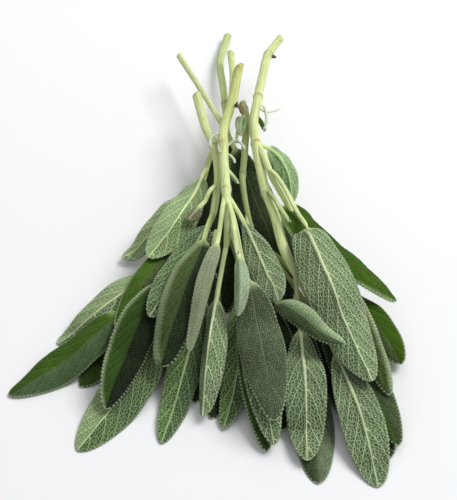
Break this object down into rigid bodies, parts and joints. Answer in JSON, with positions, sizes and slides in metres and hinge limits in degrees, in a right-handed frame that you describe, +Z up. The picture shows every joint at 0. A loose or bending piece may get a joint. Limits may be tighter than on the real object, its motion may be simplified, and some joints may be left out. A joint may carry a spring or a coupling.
{
  "type": "sage bunch",
  "caption": "Loose bunch of fresh sage lying on its side: cut stems gathered at a neck, long-stalked grey-green leaves fanned out from it.",
  "frame": {"origin": "middle of the bunch's footprint, on the surface it lies on", "axes": "+Z up from that surface, +Y along the bunch from the leaf tips to the cut ends, +X to the right seen from above with the cut ends at the far side"},
  "size_m": [0.1564, 0.2428, 0.0329],
  "materials": {
    "sage": "soft, finely haired leaf, matt"
  },
  "bodies": {
    "root": {"south_sprig": "sage", "west_low_sprig": "sage", "south_east_sprig": "sage", "stub_sprig": "sage", "east_sprig": "sage", "west_high_sprig": "sage", "crown_sprig": "sage"}
  },
  "joints": []
}
